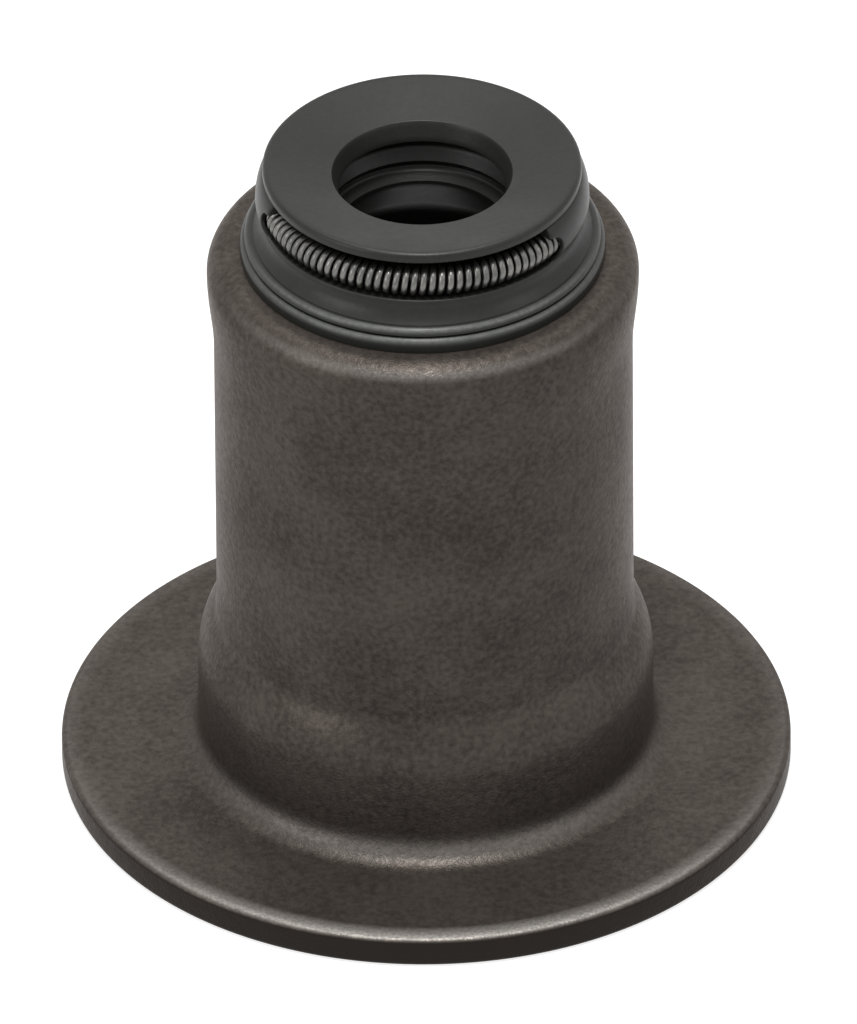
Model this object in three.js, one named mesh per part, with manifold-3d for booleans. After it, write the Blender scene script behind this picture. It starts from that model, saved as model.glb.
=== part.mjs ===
import * as THREE from 'three';
import { mergeVertices } from 'three/addons/utils/BufferGeometryUtils.js';
import Module from 'manifold-3d';

// Valve stem seal with an integrated spring seat: a drawn steel shell, a moulded rubber seal
// bonded into it, and a garter spring round the sealing lip.
// Millimetres, +Z up along the valve stem. The origin is the centre of the flange's underside.

// Valve train parts that the seal fits
const stemDiameter = 8;
const guideDiameter = 14;

// Steel shell: flange that the valve spring stands on
const flangeDiameter = 34;
const flangeThickness = 1.5;
const flangeEdgeRound = 0.3;
const baseFillet = 1.2;

// Steel shell: drawn tube with a wider base and a rounded, slightly swollen crown
const bodyDiameter = 19.4;
const wallThickness = 1.2;
const baseStep = 0.9;
const baseHeight = 5.9;
const shoulderSlope = 33;
const shoulderConvexShare = 0.8;
const shellHeight = 28.7;
const crownRound = 1.2;
const crownBulge = 0.3;
const crownBulgeRun = 4;
const mouthDiameter = 13.8;

// Rubber seal: outside, heights measured up from the top of the shell
const bondLine = 0.02;
const collarDiameter = 16.9;
const collarHeight = 0.7;
const beadInset = 0.2;
const beadHeight = 0.45;
const beadRound = 0.35;
const neckInset = 0.6;
const neckHollow = 0.15;
const rimDiameter = 14.76;
const rimThickness = 0.5;
const rimRound = 0.22;
const discDish = 0.5;

// Rubber seal: stem bore with its sealing lip, relief chamber, waist, pocket and lower wiper lip,
// depths measured down from the edge of the sealing lip
const lipInterference = 0.13;
const lipDepth = 0.9;
const leadIn = 0.3;
const chamberDiameter = 9.8;
const chamberRoof = 0.74;
const chamberDepth = 1;
const waistDiameter = 8.9;
const waistDepth = 1.54;
const pocketDiameter = 9.3;
const pocketDepth = 1.89;
const pocketFloor = 0.2;
const pocketTaper = 0.1;
const wiperInterference = 0.02;
const wiperDepth = 2.34;
const wiperThickness = 0.2;
const throatDiameter = 10.4;

// Rubber seal: lining that grips the valve guide
const guideGrip = 0.1;
const guideStopDepth = 2.4;
const liningLength = 13.5;
const liningChamfer = 0.5;
const ribCount = 3;
const ribHeight = 0.22;
const ribWidth = 0.9;
const ribCrest = 0.3;
const ribSpacing = 3;

// Garter spring and the slots that show it
const springSeatHeight = 2.97;
const springRingDiameter = 13.5;
const coilDiameter = 1.48;
const wireDiameter = 0.345;
const coilGap = 0.012;
const springClearance = 0.05;
const slotLipRise = 0.05;
const slotLipInset = 0.13;
const slotHeadroom = 0.53;
const slotRoofDip = 0.06;
const slotCount = 2;
const slotTurn = -9;
const webAngle = 47.5;
const webThickness = 0.18;
const webBulge = 0.54;
const webBelow = 0.83;
const webAbove = 1.34;
const webRoot = 2;
const rimCrease = 0.1;

// Fineness of the facets
const facets = 48;
const channelSides = 10;
const slotEndSides = 12;
const coilSteps = 6;
const wireSides = 4;
const cutterReach = 1;

// Sizes that follow from those above
const bodyRadius = bodyDiameter / 2;
const baseRadius = bodyRadius + baseStep;
const flangeRadius = flangeDiameter / 2;
const crownHeight = shellHeight - crownRound;
const mouthRadius = mouthDiameter / 2;
const sealFoot = shellHeight + bondLine;
const collarRadius = collarDiameter / 2;
const rimRadius = rimDiameter / 2;
const ringRadius = springRingDiameter / 2;
const coilRadius = coilDiameter / 2;
const springHeight = shellHeight + springSeatHeight;
const channelRadius = coilRadius + springClearance;
const slotFloor = springHeight - channelRadius + slotLipRise;
const rimUnderside = springHeight + channelRadius + slotHeadroom;
const rimTop = rimUnderside + rimThickness;
const slotLipRadius = ringRadius + channelRadius - slotLipInset;
const channelBack = ringRadius - channelRadius / 3;
const webRadius = ringRadius + channelRadius + webThickness;
const slotPitch = 360 / slotCount;
const slotEndInset = THREE.MathUtils.radToDeg(channelRadius / webRadius);
const slotAngle = slotPitch - webAngle - 2 * slotEndInset;
const lipRadius = stemDiameter / 2 - lipInterference;
const lipHeight = rimTop - discDish - lipDepth;

const point = (radius, height) => new THREE.Vector2(radius, height);

// Points along an elliptical arc of a profile, angles in degrees from the outward direction
function arc(centreRadius, centreHeight, across, upright, from, to, steps) {
  const points = [];
  for (let i = 0; i <= steps; i++) {
    const angle = THREE.MathUtils.degToRad(THREE.MathUtils.lerp(from, to, i / steps));
    points.push(point(centreRadius + across * Math.cos(angle), centreHeight + upright * Math.sin(angle)));
  }
  return points;
}

// Closed solid of revolution about Z from an anticlockwise profile of radius and height
function revolve(profile) {
  const geometry = new THREE.LatheGeometry([...profile, profile[0]], facets);
  return geometry.rotateX(Math.PI / 2);
}

function finish(name, geometry, colour, roughness, metalness) {
  geometry.computeVertexNormals();
  const material = new THREE.MeshStandardMaterial({ color: colour, roughness, metalness });
  const mesh = new THREE.Mesh(geometry, material);
  mesh.name = name;
  return mesh;
}

// Radius of the tube's wall above the shoulder, with its swelling under the crown
function tubeRadius(height, inset) {
  const rise = THREE.MathUtils.clamp((height - crownHeight + crownBulgeRun) / crownBulgeRun, 0, 1);
  return bodyRadius - inset + crownBulge * (1 - Math.cos(Math.PI * rise)) / 2;
}

// The tube's swelling, from low to high
function tubeSwelling(inset, steps) {
  const points = [];
  for (let i = 0; i <= steps; i++) {
    const height = crownHeight - crownBulgeRun * (1 - i / steps);
    points.push(point(tubeRadius(height, inset), height));
  }
  return points;
}

// The shoulder between the wide base and the tube, from low to high
function shoulder(inset) {
  const slope = THREE.MathUtils.degToRad(shoulderSlope);
  const rounds = baseStep / (1 - Math.cos(slope));
  const convex = rounds * shoulderConvexShare - inset;
  const concave = rounds * (1 - shoulderConvexShare) + inset;
  const top = baseHeight + rounds * Math.sin(slope);
  const outside = baseRadius - inset - convex;
  const inside = bodyRadius - inset + concave;
  return [
    ...arc(outside, baseHeight, convex, convex, 0, shoulderSlope, 4),
    ...arc(inside, top, concave, concave, 180 + shoulderSlope, 180, 3).slice(1),
  ];
}

function steelShell() {
  const filletCentre = baseRadius + baseFillet;
  const filletHeight = flangeThickness + baseFillet;
  const edgeRadius = flangeRadius - flangeEdgeRound;
  const crownCentre = tubeRadius(crownHeight, 0) - crownRound;
  const outside = [
    ...arc(edgeRadius, flangeEdgeRound, flangeEdgeRound, flangeEdgeRound, -90, 0, 2),
    ...arc(edgeRadius, flangeThickness - flangeEdgeRound, flangeEdgeRound, flangeEdgeRound, 0, 90, 2),
    ...arc(filletCentre, filletHeight, baseFillet, baseFillet, 270, 180, 4),
    ...shoulder(0),
    ...tubeSwelling(0, 4),
    ...arc(crownCentre, crownHeight, crownRound, crownRound, 0, 90, 4).slice(1),
  ];
  const inside = [
    point(mouthRadius, shellHeight),
    point(mouthRadius, shellHeight - wallThickness),
    ...tubeSwelling(wallThickness, 4).reverse(),
    ...shoulder(wallThickness).reverse(),
    ...arc(filletCentre, filletHeight, baseFillet + wallThickness, filletHeight, 180, 270, 4),
  ];
  return finish('steel_shell', revolve([...outside, ...inside]), 0x3f3a36, 0.55, 0.6);
}

// A quarter-round edge of a bead, from its side up to its top
const beadEdge = (radius, top) => arc(radius - beadRound, top - beadRound, beadRound, beadRound, 0, 90, 2);

// Outside of the rubber above the shell, from the collar's foot to the disc's rim
function sealOutside() {
  const beadRadius = collarRadius - beadInset;
  const collarTop = sealFoot + collarHeight;
  const beadTop = collarTop + beadHeight;
  const neckRadius = collarRadius - neckInset;
  return [
    point(collarRadius, sealFoot),
    ...beadEdge(collarRadius, collarTop),
    ...beadEdge(beadRadius, beadTop),
    point(neckRadius, beadTop),
    point((neckRadius + slotLipRadius) / 2 - neckHollow, (beadTop + slotFloor) / 2),
    point(slotLipRadius, slotFloor),
    point(rimRadius - rimCrease, rimUnderside),
    point(rimRadius, rimUnderside),
    ...arc(rimRadius - rimRound, rimTop - rimRound, rimRound, rimRound, 0, 90, 2),
  ];
}

// Ring that the webs over the spring are cut from, bulging out past the neck and the rim
function webRing() {
  const bulgeCentre = webRadius - webBulge;
  const below = arc(bulgeCentre, springHeight, webBulge, webBelow, -70, 0, 4);
  const above = arc(bulgeCentre, springHeight, webBulge, webAbove, 0, 80, 4).slice(1);
  return revolve([point(ringRadius, below[0].y), ...below, ...above, point(ringRadius, above.at(-1).y)]);
}

// Stem bore of the rubber, from the dished face down to the guide's stop
function stemBore() {
  const faceHeight = rimTop - discDish;
  const chamberRadius = chamberDiameter / 2;
  const waistRadius = waistDiameter / 2;
  const pocketRadius = pocketDiameter / 2;
  const wiperRadius = stemDiameter / 2 - wiperInterference;
  const wiperTop = lipHeight - wiperDepth;
  return [
    point(lipRadius + leadIn, faceHeight),
    point(lipRadius, lipHeight),
    point(chamberRadius, lipHeight - chamberRoof),
    point(chamberRadius, lipHeight - chamberDepth),
    point(waistRadius, lipHeight - waistDepth),
    point(pocketRadius, lipHeight - pocketDepth),
    point(pocketRadius - pocketTaper, lipHeight - pocketDepth - pocketFloor),
    point(wiperRadius, wiperTop),
    point(wiperRadius, wiperTop - wiperThickness),
    point(throatDiameter / 2, shellHeight - wallThickness),
    point(throatDiameter / 2, shellHeight - guideStopDepth),
  ];
}

// One rounded rib that holds the lining on the guide
function gripRib(boreRadius, height) {
  return [
    point(boreRadius, height + ribWidth / 2),
    point(boreRadius - ribHeight, height + ribCrest / 2),
    point(boreRadius - ribHeight, height - ribCrest / 2),
    point(boreRadius, height - ribWidth / 2),
  ];
}

// Lining of the tube, from the guide's stop down the bore and back up the bonded wall
function lining() {
  const boreRadius = guideDiameter / 2 - guideGrip;
  const roof = shellHeight - wallThickness - bondLine;
  const foot = roof - liningLength;
  const wall = tubeSwelling(wallThickness + bondLine, 4);
  const ribs = [];
  for (let i = ribCount - 1; i >= 0; i--) {
    ribs.push(...gripRib(boreRadius, foot + liningChamfer + ribSpacing * (i + 0.5)));
  }
  return [
    point(boreRadius, shellHeight - guideStopDepth),
    ...ribs,
    point(boreRadius, foot + liningChamfer),
    point(boreRadius + liningChamfer, foot),
    point(tubeRadius(foot, wallThickness + bondLine), foot),
    ...wall.slice(0, -1),
    point(tubeRadius(roof, wallThickness + bondLine), roof),
    point(mouthRadius - bondLine, roof),
    point(mouthRadius - bondLine, sealFoot),
  ];
}

// Round channel that the spring lies in
function springChannel() {
  const start = 180 / channelSides;
  const rim = arc(ringRadius, springHeight, channelRadius, channelRadius, start, start + 360, channelSides);
  return revolve(rim.slice(1));
}

// Ring-shaped tool for the slots: it opens the spring's channel to the outside
function slotRing() {
  const reach = webRadius + cutterReach;
  return revolve([
    point(ringRadius, slotFloor),
    point(reach, slotFloor),
    point(reach, rimUnderside),
    point(rimRadius - rimCrease, rimUnderside),
    point(channelBack, springHeight + channelRadius - slotRoofDip),
    point(channelBack, springHeight),
  ]);
}

// Wedge that spans an angle of the head, both angles in degrees from the front towards +X
function wedge(centre, span) {
  const start = THREE.MathUtils.degToRad(centre - span / 2 - 90);
  const end = THREE.MathUtils.degToRad(centre + span / 2 - 90);
  const reach = 2 * webRadius;
  const outline = new THREE.Shape();
  outline.lineTo(reach * Math.cos(start), reach * Math.sin(start));
  outline.absarc(0, 0, reach, start, end, false);
  const depth = rimTop - sealFoot;
  const geometry = new THREE.ExtrudeGeometry(outline, { depth, bevelEnabled: false });
  return geometry.translate(0, 0, sealFoot);
}

// Round end of a slot: a short bar that points outwards at an angle in degrees
function slotEnd(angle) {
  const length = webRadius + cutterReach - ringRadius;
  const bar = new THREE.CylinderGeometry(channelRadius, channelRadius, length, slotEndSides);
  bar.translate(0, -ringRadius - length / 2, 0);
  bar.rotateZ(THREE.MathUtils.degToRad(angle));
  return bar.translate(0, 0, springHeight);
}

const wasm = await Module();
wasm.setup();

function toSolid(geometry) {
  const bare = geometry.clone();
  bare.deleteAttribute('normal');
  bare.deleteAttribute('uv');
  const welded = mergeVertices(bare, 1e-4);
  const vertProperties = new Float32Array(welded.attributes.position.array);
  const triVerts = new Uint32Array(welded.index.array);
  return new wasm.Manifold(new wasm.Mesh({ numProp: 3, vertProperties, triVerts }));
}

function toGeometry(solid) {
  const mesh = solid.getMesh();
  const geometry = new THREE.BufferGeometry();
  geometry.setAttribute('position', new THREE.BufferAttribute(mesh.vertProperties, 3));
  geometry.setIndex(new THREE.BufferAttribute(mesh.triVerts, 1));
  return geometry;
}

function rubberSeal() {
  let seal = toSolid(revolve([...sealOutside(), ...stemBore(), ...lining()]));
  const webs = toSolid(webRing());
  const slots = toSolid(slotRing());
  const centres = Array.from({ length: slotCount }, (_, i) => slotTurn + i * slotPitch);
  for (const centre of centres) {
    seal = seal.add(webs.intersect(toSolid(wedge(centre + slotPitch / 2, webAngle + webRoot))));
  }
  seal = seal.subtract(toSolid(springChannel()));
  for (const centre of centres) {
    seal = seal.subtract(slots.intersect(toSolid(wedge(centre, slotAngle))));
    seal = seal.subtract(toSolid(slotEnd(centre - slotAngle / 2)));
    seal = seal.subtract(toSolid(slotEnd(centre + slotAngle / 2)));
  }
  return finish('rubber_seal', toGeometry(seal), 0x474845, 0.6, 0);
}

// Centre line of the wire: a helix wound round the spring's ring and joined end to end
class GarterCoil extends THREE.Curve {
  constructor(turns, radius) {
    super();
    this.turns = turns;
    this.radius = radius;
  }

  getPoint(t, target = new THREE.Vector3()) {
    const around = 2 * Math.PI * t;
    const twist = around * this.turns;
    const radius = ringRadius + this.radius * Math.cos(twist);
    return target.set(radius * Math.sin(around), -radius * Math.cos(around), this.radius * Math.sin(twist));
  }

  // Every turn is alike, so equal steps of the parameter are equal lengths of wire
  getUtoTmapping(u) {
    return u;
  }
}

function garterSpring() {
  const windingRadius = coilRadius - wireDiameter / 2;
  const innerLength = 2 * Math.PI * (ringRadius - windingRadius);
  const turns = Math.floor(innerLength / (wireDiameter + coilGap));
  const wire = new GarterCoil(turns, windingRadius);
  const geometry = new THREE.TubeGeometry(wire, turns * coilSteps, wireDiameter / 2, wireSides, true);
  const spring = finish('garter_spring', toGeometry(toSolid(geometry)), 0xa6a6a2, 0.35, 0.9);
  spring.position.z = springHeight;
  return spring;
}

const valveStemSeal = new THREE.Group();
valveStemSeal.name = 'valve_stem_seal';
valveStemSeal.add(steelShell(), rubberSeal(), garterSpring());

export default valveStemSeal;
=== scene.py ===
import math

import bpy
import numpy as np
from mathutils import Euler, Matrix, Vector

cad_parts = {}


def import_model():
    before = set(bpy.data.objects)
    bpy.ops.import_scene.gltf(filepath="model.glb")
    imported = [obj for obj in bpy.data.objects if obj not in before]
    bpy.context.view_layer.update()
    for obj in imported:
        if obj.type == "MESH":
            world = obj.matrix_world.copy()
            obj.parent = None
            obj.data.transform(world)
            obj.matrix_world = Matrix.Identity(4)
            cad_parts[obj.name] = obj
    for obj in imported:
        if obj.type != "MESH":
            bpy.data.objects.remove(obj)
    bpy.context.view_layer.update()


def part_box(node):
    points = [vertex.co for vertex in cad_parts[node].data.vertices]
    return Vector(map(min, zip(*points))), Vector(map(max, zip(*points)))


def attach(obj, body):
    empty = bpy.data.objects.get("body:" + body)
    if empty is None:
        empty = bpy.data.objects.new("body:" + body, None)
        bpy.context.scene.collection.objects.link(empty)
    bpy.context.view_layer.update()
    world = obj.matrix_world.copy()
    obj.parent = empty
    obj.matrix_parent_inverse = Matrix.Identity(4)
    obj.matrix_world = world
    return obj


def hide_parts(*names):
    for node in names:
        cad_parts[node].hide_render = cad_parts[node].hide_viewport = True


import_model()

MM = 0.001

# The photograph's frame and camera, in pixels, millimetres and degrees
FRAME_HEIGHT = 1024
PIXELS_PER_MM = 21.53
CAMERA_ELEVATION = 35.4
CAMERA_ROLL = -0.42
CAMERA_LENS = 1300.0
SENSOR = 36.0
AXIS_OFFSET = 0.18
AIM_HEIGHT = 13.76

# Steel shell, in millimetres and degrees
SHEET = 1.5
WALL = 1.2
FLANGE_EDGE = 0.3
BASE_FILLET = 1.2
BODY_RADIUS = 9.7
BASE_STEP = 0.9
BASE_HEIGHT = 5.9
SHOULDER_SLOPE = 33.0
SHOULDER_CONVEX = 0.8
CROWN_ROUND = 1.2
CROWN_BULGE = 0.3
CROWN_RUN = 4.0
MOUTH_RADIUS = 6.9
SIDE_WALL_DEPTH = 0.05

# Rubber head and its lining, in millimetres
BOND = 0.02
COLLAR_RADIUS = 8.45
COLLAR_HEIGHT = 0.7
BEAD_INSET = 0.2
BEAD_HEIGHT = 0.45
BEAD_ROUND = 0.35
NECK_INSET = 0.6
NECK_HOLLOW = 0.15
RIM_RADIUS = 7.38
RIM_SIDE = 0.5
RIM_ROUND = 0.22
HEAD_EDGE = 0.08
DISC_DISH = 0.5
LIP_RADIUS = 3.87
LIP_DEPTH = 0.9
LEAD_IN = 0.3
LIP_EDGE = 0.06
LIP_SLOPE = 0.72
CHAMBER_RADIUS = 4.9
CHAMBER_DEPTH = 1.0
WAIST_RADIUS = 4.45
WAIST_DEPTH = 1.54
POCKET_RADIUS = 4.65
POCKET_DEPTH = 1.89
POCKET_TAPER = 0.1
POCKET_FLOOR = 0.2
WIPER_RADIUS = 3.98
WIPER_DEPTH = 2.34
WIPER_THICKNESS = 0.2
THROAT_RADIUS = 5.2
GUIDE_RADIUS = 6.9
GUIDE_STOP = 2.4
LINING_LENGTH = 13.5
LINING_CHAMFER = 0.5
RIB_HEIGHT = 0.22
RIB_WIDTH = 0.9
RIB_SPACING = 3.0
RIB_COUNT = 3

# Garter spring, its channel and the webs over it, in millimetres and degrees
RING_RADIUS = 6.75
SPRING_RISE = 2.97
COIL_RADIUS = 0.74
WIRE_RADIUS = 0.1725
COIL_TURNS = 108
CHANNEL_RADIUS = 0.79
SLOT_FLOOR = -0.74
SLOT_LIP = 0.66
SLOT_ROOF = 1.32
ROOF_START_INSET = 0.237
ROOF_START_RISE = 0.78
SLOT_TURN = -9.0
WEB_ANGLE = 47.5
WEB_RADIUS = 7.72
WEB_BULGE = 0.54
WEB_EDGE = 0.1
WEB_BELOW = 0.83
WEB_ABOVE = 1.34
WEB_FOOT_ANGLE = -72
WEB_HEAD_ANGLE = 82
WEB_INNER_INSET = 0.12
WEB_THINNEST = 0.08

# Sizes that follow from the frame
shell_low, shell_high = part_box("steel_shell")
FLANGE_RADIUS = max(shell_high[0], shell_high[1]) / MM
SHELL_TOP = shell_high[2] / MM
SPRING_HEIGHT = SHELL_TOP + SPRING_RISE
RIM_TOP = SPRING_HEIGHT + SLOT_ROOF + RIM_SIDE
COLLAR_TOP = SHELL_TOP + BOND + COLLAR_HEIGHT
BEAD_TOP = COLLAR_TOP + BEAD_HEIGHT

# Rings painted lighter, a highlight painted toward the front over a little wear all round: radius,
# height, reach, amount and how narrowly the highlight keeps to the front
LEVEL_BEHIND = 0.08
# Steel: highlights painted on the flange's edge, the crown and the base fillet, over a little wear
SHELL_RINGS = (
    (FLANGE_RADIUS - 0.35, SHEET, 0.32, 1.1, 3),
    (BODY_RADIUS - 0.04, SHELL_TOP - 0.46, 0.36, 0.22, 2),
    (BODY_RADIUS + BASE_STEP + 0.22, SHEET + 0.62, 0.85, 0.19, 1),
)
# Rubber: highlights painted on the bead edges
RUBBER_RINGS = (
    (COLLAR_RADIUS - BEAD_INSET - 0.1, BEAD_TOP - 0.1, 0.2, 0.46, 1),
    (COLLAR_RADIUS - 0.1, COLLAR_TOP - 0.1, 0.2, 0.44, 1),
)

# Fineness of the meshes
TURN_STEPS = 320
STEPS_PER_COIL = 22
WIRE_SIDES = 10
SMALLEST_STEP = 1e-4

# Colours as a screen shows them, from 0 to 255
COAT_DARK = (55, 50, 46)
COAT_PALE = (80, 74, 69)
# Darker colour of the flange's side wall
SIDE_WALL_STEEL = (38, 34, 31)
# Steel painted lighter, as painted highlight and as wear
SHEEN_AND_WORN_STEEL = (196, 192, 186)
STEEL_GLANCE = (0.56, 0.5, 0.46, 1.0)
RUBBER_DARK = (30, 31, 29)
RUBBER_PALE = (40, 41, 38)
# Rubber painted pale as a highlight on the bead edges
BEAD_HIGHLIGHT_RUBBER = (152, 154, 150)
WIRE_DARK = (94, 94, 92)
WIRE_PALE = (124, 123, 120)
WHITE = (1.0, 1.0, 1.0, 1.0)

# Light of the world on the object and of the white background, and the paper's own lift
WORLD_LEVEL = 0.27
BACKGROUND_LEVEL = 1.0
PAPER_GREY = (0.4, 0.4, 0.4, 1.0)
PAPER_LIFT = 0.8

# Lamps: name, azimuth, elevation, size in metres and power in watts
LAMP_DISTANCE = 0.5
LAMPS = (
    ("key", -6, 76, 0.1, 1.65),
    ("overhead", 180, 75, 0.3, 1.05),
    ("left", -56, 24, 0.25, 0.5),
    ("right", 70, 30, 0.2, 0.15),
)


# Profiles of the turned pieces

def arc(centre_r, centre_z, across, upright, start, end, steps):
    """Points of an elliptical arc in the plane of radius and height, angles from outwards."""
    angles = np.radians(np.linspace(start, end, steps + 1))
    return [(centre_r + across * math.cos(a), centre_z + upright * math.sin(a)) for a in angles]


def run(start, end, steps):
    """Evenly spaced points from start towards end, without the end."""
    start, end = np.array(start), np.array(end)
    return [tuple(start + (end - start) * i / steps) for i in range(steps)]


def through(*stops):
    """Runs through stops in turn, each with its radius, its height and the steps to the next."""
    points = []
    for here, there in zip(stops, stops[1:]):
        points += run(here[:2], there[:2], here[2])
    return points


def tube_radius(height, inset):
    """Radius of the tube's wall, inset from its outside, where it swells under the crown."""
    crown = SHELL_TOP - CROWN_ROUND
    rise = min(max((height - crown + CROWN_RUN) / CROWN_RUN, 0.0), 1.0)
    return BODY_RADIUS - inset + CROWN_BULGE * (1 - math.cos(math.pi * rise)) / 2


def tube_wall(low, high, inset, steps):
    """The tube's wall from low to high, with its swelling under the crown."""
    heights = np.linspace(low, high, steps + 1)
    return [(tube_radius(z, inset), float(z)) for z in heights]


def shoulder(inset):
    """The shoulder between the wide base and the tube, from low to high."""
    slope = math.radians(SHOULDER_SLOPE)
    rounds = BASE_STEP / (1 - math.cos(slope))
    convex = rounds * SHOULDER_CONVEX - inset
    concave = rounds * (1 - SHOULDER_CONVEX) + inset
    top = BASE_HEIGHT + rounds * math.sin(slope)
    outer = BODY_RADIUS + BASE_STEP - inset - convex
    inner = BODY_RADIUS - inset + concave
    low = arc(outer, BASE_HEIGHT, convex, convex, 0, SHOULDER_SLOPE, 12)
    high = arc(inner, top, concave, concave, 180 + SHOULDER_SLOPE, 180, 8)
    return low + high[1:]


def shell_profile():
    """Closed section of the drawn shell, anticlockwise from the flange's underside."""
    fillet_r = BODY_RADIUS + BASE_STEP + BASE_FILLET
    fillet_z = SHEET + BASE_FILLET
    edge_r = FLANGE_RADIUS - FLANGE_EDGE
    crown_z = SHELL_TOP - CROWN_ROUND
    crown_r = tube_radius(crown_z, 0) - CROWN_ROUND
    base_r = BODY_RADIUS + BASE_STEP
    points = run((fillet_r, 0), (edge_r, 0), 8)
    points += arc(edge_r, FLANGE_EDGE, FLANGE_EDGE, FLANGE_EDGE, -90, 0, 6)
    points += arc(edge_r, SHEET - FLANGE_EDGE, FLANGE_EDGE, FLANGE_EDGE, 0, 90, 8)
    points += run((edge_r - 0.2, SHEET), (fillet_r + 0.1, SHEET), 8)
    points += arc(fillet_r, fillet_z, BASE_FILLET, BASE_FILLET, 270, 180, 14)
    points += run((base_r, fillet_z + 0.3), (base_r, BASE_HEIGHT - 0.1), 3)
    points += shoulder(0)
    points += tube_wall(points[-1][1] + 0.5, crown_z, 0, 30)
    points += arc(crown_r, crown_z, CROWN_ROUND, CROWN_ROUND, 0, 90, 16)[1:]
    points += run((crown_r - 0.1, SHELL_TOP), (MOUTH_RADIUS, SHELL_TOP), 4)
    points += [(MOUTH_RADIUS, SHELL_TOP), (MOUTH_RADIUS, SHELL_TOP - WALL)]
    inside = shoulder(WALL)
    points += tube_wall(inside[-1][1] + 0.5, crown_z, WALL, 24)[::-1]
    points += inside[::-1]
    points += arc(fillet_r, fillet_z, BASE_FILLET + WALL, fillet_z, 180, 270, 14)[:-1]
    return points


def bead_edge(radius, top):
    """Quarter round of a bead's upper edge."""
    return arc(radius - BEAD_ROUND, top - BEAD_ROUND, BEAD_ROUND, BEAD_ROUND, 0, 90, 10)


def hollow_neck(foot, top, steps):
    """The neck from the bead up to the channel's lip, drawn in slightly between them."""
    share = np.linspace(0, 1, steps + 1)
    radii = foot[0] + (top[0] - foot[0]) * share - 4 * NECK_HOLLOW * share * (1 - share)
    heights = foot[1] + (top[1] - foot[1]) * share
    return list(zip(radii.tolist(), heights.tolist()))[:-1]


def head_outside():
    """Outside of the rubber from the collar's foot up to the disc's rim, with the open channel."""
    bead_r = COLLAR_RADIUS - BEAD_INSET
    neck_r = COLLAR_RADIUS - NECK_INSET
    lip_r = RING_RADIUS + SLOT_LIP
    lip_z = SPRING_HEIGHT + SLOT_FLOOR - HEAD_EDGE
    roof_z = SPRING_HEIGHT + SLOT_ROOF
    roof_start = (RING_RADIUS - ROOF_START_INSET, SPRING_HEIGHT + ROOF_START_RISE)
    roof_end = (RIM_RADIUS - HEAD_EDGE, roof_z)
    points = run((COLLAR_RADIUS, SHELL_TOP + BOND), (COLLAR_RADIUS, COLLAR_TOP - BEAD_ROUND), 4)
    points += bead_edge(COLLAR_RADIUS, COLLAR_TOP)
    points += bead_edge(bead_r, BEAD_TOP)
    points += hollow_neck((neck_r, BEAD_TOP), (lip_r, lip_z), 10)
    points += arc(lip_r - HEAD_EDGE, lip_z, HEAD_EDGE, HEAD_EDGE, 0, 90, 4)
    points += arc(RING_RADIUS, SPRING_HEIGHT, CHANNEL_RADIUS, CHANNEL_RADIUS, -68, -248, 26)
    points += run(roof_start, roof_end, 8)[1:]
    points += arc(RIM_RADIUS - HEAD_EDGE, roof_z + HEAD_EDGE, HEAD_EDGE, HEAD_EDGE, -90, 0, 4)
    points += arc(RIM_RADIUS - RIM_ROUND, RIM_TOP - RIM_ROUND, RIM_ROUND, RIM_ROUND, 0, 90, 8)
    return points


def stem_bore():
    """From the dished face down through the sealing lip, the chamber and the wiper lip."""
    face_z = RIM_TOP - DISC_DISH
    lip_z = face_z - LIP_DEPTH
    wiper_z = lip_z - WIPER_DEPTH
    pocket_z = lip_z - POCKET_DEPTH
    mouth_r = LIP_RADIUS + LEAD_IN
    points = run((RIM_RADIUS - RIM_ROUND - 0.1, RIM_TOP - 0.01), (mouth_r + LIP_EDGE, face_z), 20)
    points += arc(mouth_r + LIP_EDGE, face_z - LIP_EDGE, LIP_EDGE, LIP_EDGE, 90, 160, 4)
    points += run((mouth_r - 0.04, face_z - 0.14), (LIP_RADIUS + 0.02, lip_z + 0.08), 6)
    points += arc(LIP_RADIUS + LIP_EDGE, lip_z, LIP_EDGE, LIP_EDGE, 165, 250, 4)
    points += through(
        (LIP_RADIUS + 0.12, lip_z - 0.12, 6),
        (CHAMBER_RADIUS, lip_z - (CHAMBER_RADIUS - LIP_RADIUS) * LIP_SLOPE, 3),
        (CHAMBER_RADIUS, lip_z - CHAMBER_DEPTH, 4),
        (WAIST_RADIUS, lip_z - WAIST_DEPTH, 3),
        (POCKET_RADIUS, pocket_z, 3),
        (POCKET_RADIUS - POCKET_TAPER, pocket_z - POCKET_FLOOR, 5),
        (WIPER_RADIUS, wiper_z, 2),
        (WIPER_RADIUS, wiper_z - WIPER_THICKNESS, 5),
        (THROAT_RADIUS, SHELL_TOP - WALL, 3),
        (THROAT_RADIUS, SHELL_TOP - GUIDE_STOP, 1),
    )
    points.append((THROAT_RADIUS, SHELL_TOP - GUIDE_STOP))
    return points


def lining():
    """From the guide's stop down the ribbed bore and back up the wall that is bonded to the steel."""
    roof = SHELL_TOP - WALL - BOND
    foot = roof - LINING_LENGTH
    points = [(GUIDE_RADIUS, SHELL_TOP - GUIDE_STOP)]
    for rib in reversed(range(RIB_COUNT)):
        centre = foot + LINING_CHAMFER + RIB_SPACING * (rib + 0.5)
        points += arc(GUIDE_RADIUS, centre, RIB_HEIGHT, RIB_WIDTH / 2, 90, 270, 10)
    points += [(GUIDE_RADIUS, foot + LINING_CHAMFER), (GUIDE_RADIUS + LINING_CHAMFER, foot)]
    points += tube_wall(foot, roof, WALL + BOND, 24)
    points += [(MOUTH_RADIUS - BOND, roof), (MOUTH_RADIUS - BOND, SHELL_TOP + BOND)]
    return points


# Mesh makers

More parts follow.
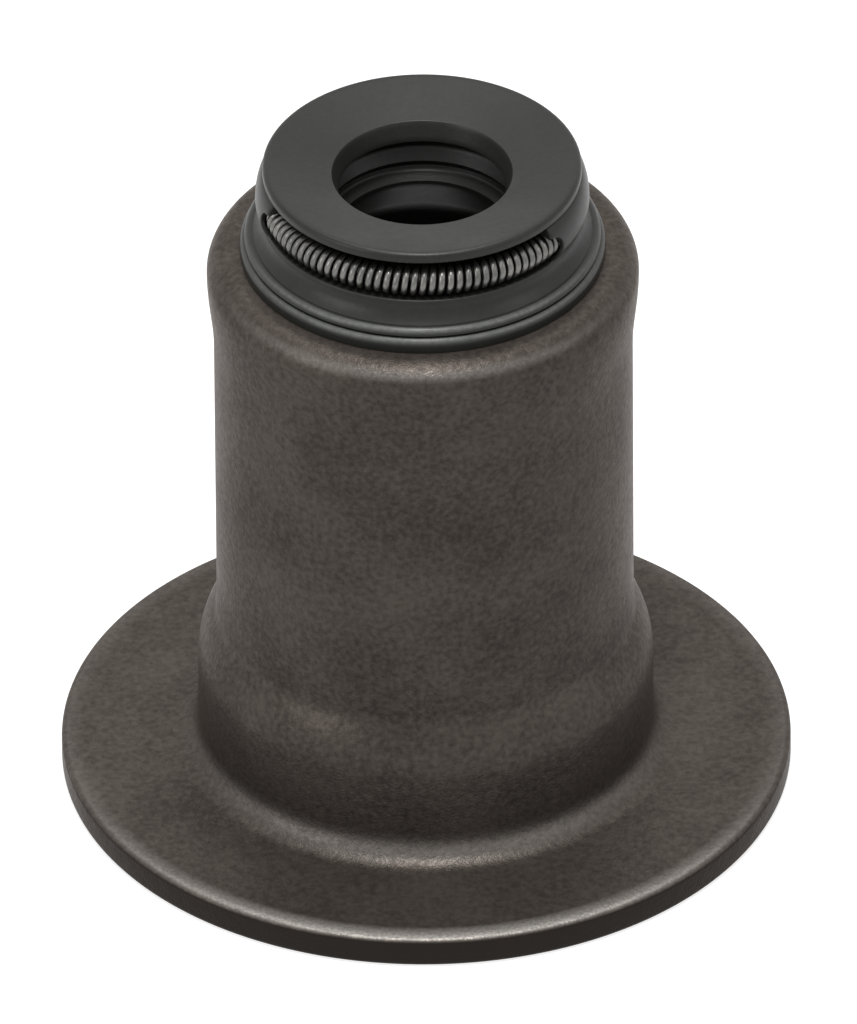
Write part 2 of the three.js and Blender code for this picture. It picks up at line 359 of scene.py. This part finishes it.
def new_object(name, vertices, faces, smooth_angle=40.0, **masks):
    """Smooth-shaded object. Each mask is a value per vertex that the materials read by its name."""
    mesh = bpy.data.meshes.new(name)
    mesh.from_pydata([tuple(v) for v in vertices], [], [tuple(f) for f in faces])
    for label, amounts in masks.items():
        mesh.attributes.new(label, "FLOAT", "POINT").data.foreach_set("value", amounts)
    mesh.shade_smooth()
    mesh.set_sharp_from_angle(angle=math.radians(smooth_angle))
    mesh.validate()
    piece = bpy.data.objects.new(name, mesh)
    bpy.context.scene.collection.objects.link(piece)
    return piece


def without_repeats(profile):
    """The closed profile without points that lie on the one before."""
    kept = []
    for p in profile:
        if not kept or math.dist(p, kept[-1]) > SMALLEST_STEP:
            kept.append(p)
    if math.dist(kept[0], kept[-1]) <= SMALLEST_STEP:
        kept.pop()
    return kept


def closed_grid(rows, count):
    """Quads that join rows of vertices, row to row and round each row, both ways closed."""
    i = np.arange(rows)[:, None] * count
    j = np.arange(count)[None, :]
    next_i = np.roll(i, -1, axis=0)
    next_j = (j + 1) % count
    return np.stack([i + j, next_i + j, next_i + next_j, i + next_j], axis=-1)


def turned(profile, steps):
    """Vertices and faces of a closed section revolved about the axis, in metres."""
    profile = np.array(without_repeats(profile)) * MM
    turn = np.linspace(0, 2 * math.pi, steps, endpoint=False)
    around = np.stack([np.sin(turn), -np.cos(turn)], axis=1)
    count = len(profile)
    vertices = np.zeros((steps, count, 3))
    vertices[:, :, :2] = around[:, None, :] * profile[None, :, 0, None]
    vertices[:, :, 2] = profile[None, :, 1]
    return vertices.reshape(-1, 3), closed_grid(steps, count).reshape(-1, 4)


def rubbed_mask(profile, rings):
    """How much painted highlight and wear each vertex of a turned piece takes: the highlight is painted
    most at the front, and only a little wear stays behind.
    """
    turn = np.linspace(0, 2 * math.pi, TURN_STEPS, endpoint=False)
    # The painted highlight is strongest at the front and fades round the sides
    facing = np.maximum(np.cos(turn), 0)
    mask = np.zeros((TURN_STEPS, len(profile)))
    for ring_r, ring_z, reach, amount, narrowness in rings:
        near = [amount * max(0.0, 1 - math.dist(p, (ring_r, ring_z)) / reach) for p in profile]
        share = LEVEL_BEHIND + (1 - LEVEL_BEHIND) * facing ** narrowness
        mask = np.maximum(mask, np.outer(share, near))
    return mask.ravel()


def steel_shell():
    """The drawn shell, with its rings of painted highlight and wear and the flange's darker side wall
    marked.
    """
    profile = shell_profile()
    vertices, faces = turned(profile, TURN_STEPS)
    places = without_repeats(profile)
    rubbed = rubbed_mask(places, SHELL_RINGS)
    # The flange's side wall, coloured darker
    side_wall = [float(r > FLANGE_RADIUS - SIDE_WALL_DEPTH) for r, z in places]
    sheared = np.tile(side_wall, TURN_STEPS)
    return new_object("drawn_shell", vertices, faces, rubbed=rubbed, sheared=sheared)


def web_loop(outer_r, z):
    """One level of a web: angle, radius and height of each point round it, its corners rounded."""
    reach = math.sqrt(max(CHANNEL_RADIUS ** 2 - (z - SPRING_HEIGHT) ** 2, 0.0))
    inner_r = min(max(RING_RADIUS + reach, RING_RADIUS + WEB_INNER_INSET), outer_r - WEB_THINNEST)
    half = math.radians(WEB_ANGLE) / 2 + (CHANNEL_RADIUS - reach) / WEB_RADIUS
    edge = min(WEB_EDGE, (outer_r - inner_r) * 0.45)
    side = half - edge / outer_r
    corner = arc(0, 0, 1, 1, 90, 0, 5)
    right = [(side + edge / outer_r * a, outer_r - edge + edge * b) for a, b in corner]
    left = [(-t, r) for t, r in reversed(right)]
    across = [(t, outer_r) for t in np.linspace(-side, side, 40)[1:-1]]
    back = [(t, inner_r) for t in np.linspace(half, -half, 12)]
    return [(t, r, z) for t, r in left + across + right + back]


def web(centre):
    """Vertices and faces of one rubber web over the spring, closed, its ends rounded round the coil."""
    core = WEB_RADIUS - WEB_BULGE
    bulge = arc(core, SPRING_HEIGHT, WEB_BULGE, WEB_BELOW, WEB_FOOT_ANGLE, 0, 16)
    bulge += arc(core, SPRING_HEIGHT, WEB_BULGE, WEB_ABOVE, 0, WEB_HEAD_ANGLE, 18)[1:]
    loops = np.array([web_loop(outer_r, z) for outer_r, z in bulge])
    rows, count = loops.shape[:2]
    angle = loops[:, :, 0] + math.radians(centre)
    vertices = np.zeros((rows, count, 3))
    vertices[:, :, 0] = loops[:, :, 1] * np.sin(angle) * MM
    vertices[:, :, 1] = -loops[:, :, 1] * np.cos(angle) * MM
    vertices[:, :, 2] = loops[:, :, 2] * MM
    sides = closed_grid(rows, count)[:-1].reshape(-1, 4)
    faces = [tuple(face) for face in sides[:, [0, 3, 2, 1]]]
    faces.append(tuple(reversed(range(count))))
    faces.append(tuple(range((rows - 1) * count, rows * count)))
    return vertices.reshape(-1, 3), faces


def rubber_seal():
    """The turned rubber body with its two webs, its bead edges marked for a painted highlight."""
    profile = head_outside() + stem_bore() + lining()
    vertices, faces = turned(profile, TURN_STEPS)
    rubbed = rubbed_mask(without_repeats(profile), RUBBER_RINGS).tolist()
    vertices, faces = list(vertices), [tuple(f) for f in faces]
    for centre in (SLOT_TURN + 90, SLOT_TURN + 270):
        web_vertices, web_faces = web(centre)
        offset = len(vertices)
        vertices += list(web_vertices)
        rubbed += [0.0] * len(web_vertices)
        faces += [tuple(offset + k for k in face) for face in web_faces]
    return new_object("rubber_seal_head", vertices, faces, rubbed=rubbed)


def coil_line(around):
    """Centre line of the wire at each angle round the ring: a helix about the ring's own line."""
    twist = around * COIL_TURNS
    wind = COIL_RADIUS - WIRE_RADIUS
    radius = RING_RADIUS + wind * np.cos(twist)
    height = SPRING_HEIGHT + wind * np.sin(twist)
    return np.stack([radius * np.sin(around), -radius * np.cos(around), height], axis=-1)


def unit(vectors):
    return vectors / np.linalg.norm(vectors, axis=1, keepdims=True)


def garter_spring():
    """The wound wire as one closed tube, each turn just clear of the next."""
    total = COIL_TURNS * STEPS_PER_COIL
    around = np.linspace(0, 2 * math.pi, total, endpoint=False)
    centre = coil_line(around)
    tangent = unit(coil_line(around + SMALLEST_STEP) - centre)
    height = np.full(total, SPRING_HEIGHT)
    hub = np.stack([RING_RADIUS * np.sin(around), -RING_RADIUS * np.cos(around), height], axis=-1)
    out = centre - hub
    out = unit(out - tangent * np.sum(out * tangent, axis=1, keepdims=True))
    side = np.cross(tangent, out)
    ring = np.linspace(0, 2 * math.pi, WIRE_SIDES, endpoint=False)[None, :, None]
    offsets = out[:, None, :] * np.cos(ring) + side[:, None, :] * np.sin(ring)
    vertices = ((centre[:, None, :] + offsets * WIRE_RADIUS) * MM).reshape(-1, 3)
    quads = closed_grid(total, WIRE_SIDES).reshape(-1, 4)
    return new_object("wound_garter_spring", vertices, quads, 180.0)


# Shader node helpers

def new_group(name, inputs, outputs):
    """Node group with inputs of label, kind and default value, and outputs of label and kind."""
    group = bpy.data.node_groups.new(name, "ShaderNodeTree")
    for label, kind, value in inputs:
        socket = group.interface.new_socket(name=label, in_out="INPUT", socket_type=kind)
        socket.default_value = value
    for label, kind in outputs:
        group.interface.new_socket(name=label, in_out="OUTPUT", socket_type=kind)
    return group


def mottle_group():
    """Cloudy mask of a finish that took unevenly: broad clouds with a fine speckle over them."""
    inputs = [("Cloud Scale", "NodeSocketFloat", 300.0), ("Speckle Scale", "NodeSocketFloat", 3000.0),
              ("Speckle Share", "NodeSocketFloat", 0.4)]
    group = new_group("Mottled finish", inputs, [("Mask", "NodeSocketFloat")])
    nodes, links = group.nodes, group.links
    source = nodes.new("NodeGroupInput")
    target = nodes.new("NodeGroupOutput")
    place = nodes.new("ShaderNodeTexCoord")
    clouds = nodes.new("ShaderNodeTexNoise")
    clouds.inputs["Detail"].default_value = 4.0
    speckle = nodes.new("ShaderNodeTexNoise")
    speckle.inputs["Detail"].default_value = 3.0
    blend = nodes.new("ShaderNodeMix")
    links.new(place.outputs["Object"], clouds.inputs["Vector"])
    links.new(place.outputs["Object"], speckle.inputs["Vector"])
    links.new(source.outputs["Cloud Scale"], clouds.inputs["Scale"])
    links.new(source.outputs["Speckle Scale"], speckle.inputs["Scale"])
    links.new(source.outputs["Speckle Share"], blend.inputs["Factor"])
    links.new(clouds.outputs["Fac"], blend.inputs["A"])
    links.new(speckle.outputs["Fac"], blend.inputs["B"])
    spread = nodes.new("ShaderNodeMapRange")
    spread.inputs["From Min"].default_value = 0.36
    spread.inputs["From Max"].default_value = 0.64
    links.new(blend.outputs["Result"], spread.inputs["Value"])
    links.new(spread.outputs["Result"], target.inputs["Mask"])
    return group


def highlight_and_wear_group():
    """Mask of the painted highlights and the bare wear under them, broken up by fine noise."""
    inputs = [("Amount", "NodeSocketFloat", 1.0), ("Break Scale", "NodeSocketFloat", 5000.0),
              ("Break Depth", "NodeSocketFloat", 0.6)]
    group = new_group("Painted highlight and wear", inputs, [("Mask", "NodeSocketFloat")])
    nodes, links = group.nodes, group.links
    source = nodes.new("NodeGroupInput")
    target = nodes.new("NodeGroupOutput")
    place = nodes.new("ShaderNodeTexCoord")
    # Attribute that holds the painted highlight and the wear
    rubbed = nodes.new("ShaderNodeAttribute")
    rubbed.attribute_name = "rubbed"
    breaks = nodes.new("ShaderNodeTexNoise")
    breaks.inputs["Detail"].default_value = 3.0
    loss = nodes.new("ShaderNodeMapRange")
    loss.inputs["From Min"].default_value = 0.4
    loss.inputs["From Max"].default_value = 0.6
    loss.inputs["To Min"].default_value = 1.0
    depth = nodes.new("ShaderNodeMath")
    depth.operation = "SUBTRACT"
    depth.inputs[0].default_value = 1.0
    strength = nodes.new("ShaderNodeMath")
    strength.operation = "MULTIPLY"
    amount = nodes.new("ShaderNodeMath")
    amount.operation = "MULTIPLY"
    amount.use_clamp = True
    links.new(place.outputs["Object"], breaks.inputs["Vector"])
    links.new(source.outputs["Break Scale"], breaks.inputs["Scale"])
    links.new(breaks.outputs["Fac"], loss.inputs["Value"])
    links.new(source.outputs["Break Depth"], depth.inputs[1])
    links.new(depth.outputs["Value"], loss.inputs["To Max"])
    links.new(rubbed.outputs["Fac"], strength.inputs[0])
    links.new(source.outputs["Amount"], strength.inputs[1])
    links.new(strength.outputs["Value"], amount.inputs[0])
    links.new(loss.outputs["Result"], amount.inputs[1])
    links.new(amount.outputs["Value"], target.inputs["Mask"])
    return group


def srgb(colour):
    """Linear colour from the 0 to 255 values that a screen shows."""
    levels = [v / 255 for v in colour]
    linear = [v / 12.92 if v <= 0.04045 else ((v + 0.055) / 1.055) ** 2.4 for v in levels]
    return (*linear, 1.0)


def new_material(name):
    """A material with its nodes, its links and its Principled shader."""
    material = bpy.data.materials.new(name)
    material.use_nodes = True
    nodes = material.node_tree.nodes
    return material, nodes, material.node_tree.links, nodes["Principled BSDF"]


def place_group(nodes, group, **values):
    """The group as a node, with input values by label, underscores for spaces."""
    node = nodes.new("ShaderNodeGroup")
    node.node_tree = group
    for label, value in values.items():
        node.inputs[label.replace("_", " ")].default_value = value
    return node


def colour_mix(nodes, links, mask, dark, light):
    """Colour from dark to light as the mask goes from 0 to 1. Either may be a socket."""
    mix = nodes.new("ShaderNodeMix")
    mix.data_type = "RGBA"
    links.new(mask, mix.inputs["Factor"])
    for socket, colour in ((mix.inputs["A"], dark), (mix.inputs["B"], light)):
        if hasattr(colour, "is_output"):
            links.new(colour, socket)
        else:
            socket.default_value = colour
    return mix.outputs["Result"]


def value_range(nodes, links, mask, low, high):
    """Value from low to high as the mask goes from 0 to 1."""
    remap = nodes.new("ShaderNodeMapRange")
    remap.inputs["To Min"].default_value = low
    remap.inputs["To Max"].default_value = high
    links.new(mask, remap.inputs["Value"])
    return remap.outputs["Result"]


def bump(nodes, links, shader, height, strength, distance):
    node = nodes.new("ShaderNodeBump")
    node.inputs["Strength"].default_value = strength
    node.inputs["Distance"].default_value = distance
    links.new(height, node.inputs["Height"])
    links.new(node.outputs["Normal"], shader.inputs["Normal"])


def phosphated_steel(mottle, rub):
    """Brown-grey phosphate coat on drawn steel, cloudy and grainy, with highlights and a little wear
    painted lighter along its edges.
    """
    material, nodes, links, shader = new_material("phosphated_steel")
    clouds = place_group(nodes, mottle, Cloud_Scale=260.0, Speckle_Scale=3600.0, Speckle_Share=0.6)
    grain = place_group(nodes, mottle, Cloud_Scale=2200.0, Speckle_Scale=9000.0, Speckle_Share=0.5)
    # Mask of the painted highlight and wear on the steel
    sheen_and_wear = place_group(nodes, rub, Amount=1.0, Break_Scale=6000.0, Break_Depth=0.35)
    coat = colour_mix(nodes, links, clouds.outputs["Mask"], srgb(COAT_DARK), srgb(COAT_PALE))
    # The flange's side wall is coloured darker
    sheared = nodes.new("ShaderNodeAttribute")
    sheared.attribute_name = "sheared"
    with_side_wall = colour_mix(nodes, links, sheared.outputs["Fac"], coat, srgb(SIDE_WALL_STEEL))
    colour = colour_mix(nodes, links, sheen_and_wear.outputs["Mask"], with_side_wall, srgb(SHEEN_AND_WORN_STEEL))
    links.new(colour, shader.inputs["Base Color"])
    roughness = value_range(nodes, links, clouds.outputs["Mask"], 0.46, 0.36)
    links.new(roughness, shader.inputs["Roughness"])
    shader.inputs["Metallic"].default_value = 0.45
    shader.inputs["Specular IOR Level"].default_value = 0.2
    shader.inputs["Specular Tint"].default_value = STEEL_GLANCE
    bump(nodes, links, shader, grain.outputs["Mask"], 0.35, 0.00004)
    return material


def seal_rubber(mottle, rub):
    """Dark green-grey moulded elastomer with a faint bloom, a satin skin and bead edges painted paler
    as a highlight.
    """
    material, nodes, links, shader = new_material("seal_rubber")
    bloom = place_group(nodes, mottle, Cloud_Scale=240.0, Speckle_Scale=3200.0, Speckle_Share=0.35)
    skin = place_group(nodes, mottle, Cloud_Scale=1500.0, Speckle_Scale=8000.0, Speckle_Share=0.6)
    # Mask of the highlight painted on the bead edges
    sheen_and_wear = place_group(nodes, rub, Amount=1.0, Break_Scale=4000.0, Break_Depth=0.25)
    body = colour_mix(nodes, links, bloom.outputs["Mask"], srgb(RUBBER_DARK), srgb(RUBBER_PALE))
    colour = colour_mix(nodes, links, sheen_and_wear.outputs["Mask"], body, srgb(BEAD_HIGHLIGHT_RUBBER))
    links.new(colour, shader.inputs["Base Color"])
    roughness = value_range(nodes, links, bloom.outputs["Mask"], 0.4, 0.32)
    links.new(roughness, shader.inputs["Roughness"])
    shader.inputs["Specular IOR Level"].default_value = 0.25
    bump(nodes, links, shader, skin.outputs["Mask"], 0.15, 0.00002)
    return material


def spring_wire(mottle):
    """Bright drawn wire, slightly dulled in places."""
    material, nodes, links, shader = new_material("spring_steel")
    dull = place_group(nodes, mottle, Cloud_Scale=900.0, Speckle_Scale=7000.0, Speckle_Share=0.4)
    colour = colour_mix(nodes, links, dull.outputs["Mask"], srgb(WIRE_DARK), srgb(WIRE_PALE))
    links.new(colour, shader.inputs["Base Color"])
    roughness = value_range(nodes, links, dull.outputs["Mask"], 0.38, 0.26)
    links.new(roughness, shader.inputs["Roughness"])
    shader.inputs["Metallic"].default_value = 1.0
    bump(nodes, links, shader, dull.outputs["Mask"], 0.1, 0.00001)
    return material


def background_rays(nodes, links):
    """One for the rays that see the white background: camera, glossy and transmission rays."""
    path = nodes.new("ShaderNodeLightPath")
    seen = path.outputs["Is Camera Ray"]
    for label in ("Is Glossy Ray", "Is Transmission Ray"):
        either = nodes.new("ShaderNodeMath")
        either.operation = "MAXIMUM"
        links.new(seen, either.inputs[0])
        links.new(path.outputs[label], either.inputs[1])
        seen = either.outputs["Value"]
    return seen


def white_paper():
    """Floor that shows white to the camera and still takes the object's shadow."""
    material, nodes, links, shader = new_material("white_floor")
    shader.inputs["Base Color"].default_value = PAPER_GREY
    shader.inputs["Roughness"].default_value = 0.9
    shader.inputs["Specular IOR Level"].default_value = 0.0
    lift = nodes.new("ShaderNodeEmission")
    lift.inputs["Color"].default_value = WHITE
    amount = nodes.new("ShaderNodeMath")
    amount.operation = "MULTIPLY"
    amount.inputs[1].default_value = PAPER_LIFT
    total = nodes.new("ShaderNodeAddShader")
    links.new(background_rays(nodes, links), amount.inputs[0])
    links.new(amount.outputs["Value"], lift.inputs["Strength"])
    links.new(shader.outputs["BSDF"], total.inputs[0])
    links.new(lift.outputs["Emission"], total.inputs[1])
    links.new(total.outputs["Shader"], nodes["Material Output"].inputs["Surface"])
    return material


# Stage, lamps and camera

def floor():
    """Square of paper, just under the flange."""
    size = 0.6
    corners = [(-size, -size, 0), (size, -size, 0), (size, size, 0), (-size, size, 0)]
    piece = new_object("floor", corners, [(0, 1, 2, 3)])
    piece.location.z = -0.00002
    piece.data.materials.append(white_paper())


def world():
    """Even light from all round, white where the background is seen."""
    scene_world = bpy.data.worlds.new("studio")
    scene_world.use_nodes = True
    nodes, links = scene_world.node_tree.nodes, scene_world.node_tree.links
    background = nodes["Background"]
    background.inputs["Color"].default_value = WHITE
    level = nodes.new("ShaderNodeMapRange")
    level.inputs["To Min"].default_value = WORLD_LEVEL
    level.inputs["To Max"].default_value = BACKGROUND_LEVEL
    links.new(background_rays(nodes, links), level.inputs["Value"])
    links.new(level.outputs["Result"], background.inputs["Strength"])
    bpy.context.scene.world = scene_world


def lamp(name, azimuth, elevation, size, power):
    """Square soft box that faces the middle of the object, azimuth from the front towards +X."""
    data = bpy.data.lights.new(name, "AREA")
    data.shape = "SQUARE"
    data.size = size
    data.energy = power
    piece = bpy.data.objects.new(name, data)
    a, e = math.radians(azimuth), math.radians(elevation)
    away = Vector((math.sin(a) * math.cos(e), -math.cos(a) * math.cos(e), math.sin(e)))
    middle = Vector((0, 0, AIM_HEIGHT * MM))
    piece.location = middle + away * LAMP_DISTANCE
    piece.rotation_euler = away.to_track_quat("Z", "Y").to_euler()
    bpy.context.scene.collection.objects.link(piece)


def camera():
    """Long lens at the photograph's angle, framed by its scale."""
    data = bpy.data.cameras.new("camera")
    data.lens = CAMERA_LENS
    data.sensor_width = SENSOR
    data.sensor_fit = "AUTO"
    visible_height = FRAME_HEIGHT / PIXELS_PER_MM * MM
    distance = visible_height * CAMERA_LENS / SENSOR
    data.clip_start = distance * 0.1
    data.clip_end = distance * 10
    piece = bpy.data.objects.new("camera", data)
    e = math.radians(CAMERA_ELEVATION)
    away = Vector((0, -math.cos(e), math.sin(e)))
    aim = Vector((AXIS_OFFSET * MM, 0, AIM_HEIGHT * MM))
    piece.location = aim + away * distance
    turn = Euler((math.radians(90 - CAMERA_ELEVATION), 0, 0)).to_matrix()
    roll = Euler((0, 0, math.radians(CAMERA_ROLL))).to_matrix()
    piece.rotation_euler = (turn @ roll).to_euler()
    bpy.context.scene.collection.objects.link(piece)
    bpy.context.scene.camera = piece


def dress(piece, material, node):
    """Gives a piece its material, attaches it to the root body and hides the node it replaces."""
    piece.data.materials.append(material)
    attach(piece, "root")
    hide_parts(node)


bpy.context.scene.view_settings.view_transform = "Standard"
camera()
world()
floor()
for row in LAMPS:
    lamp(*row)

mottle = mottle_group()
# Node group for painted highlights and wear
rub = highlight_and_wear_group()
dress(steel_shell(), phosphated_steel(mottle, rub), "steel_shell")
dress(rubber_seal(), seal_rubber(mottle, rub), "rubber_seal")
dress(garter_spring(), spring_wire(mottle), "garter_spring")
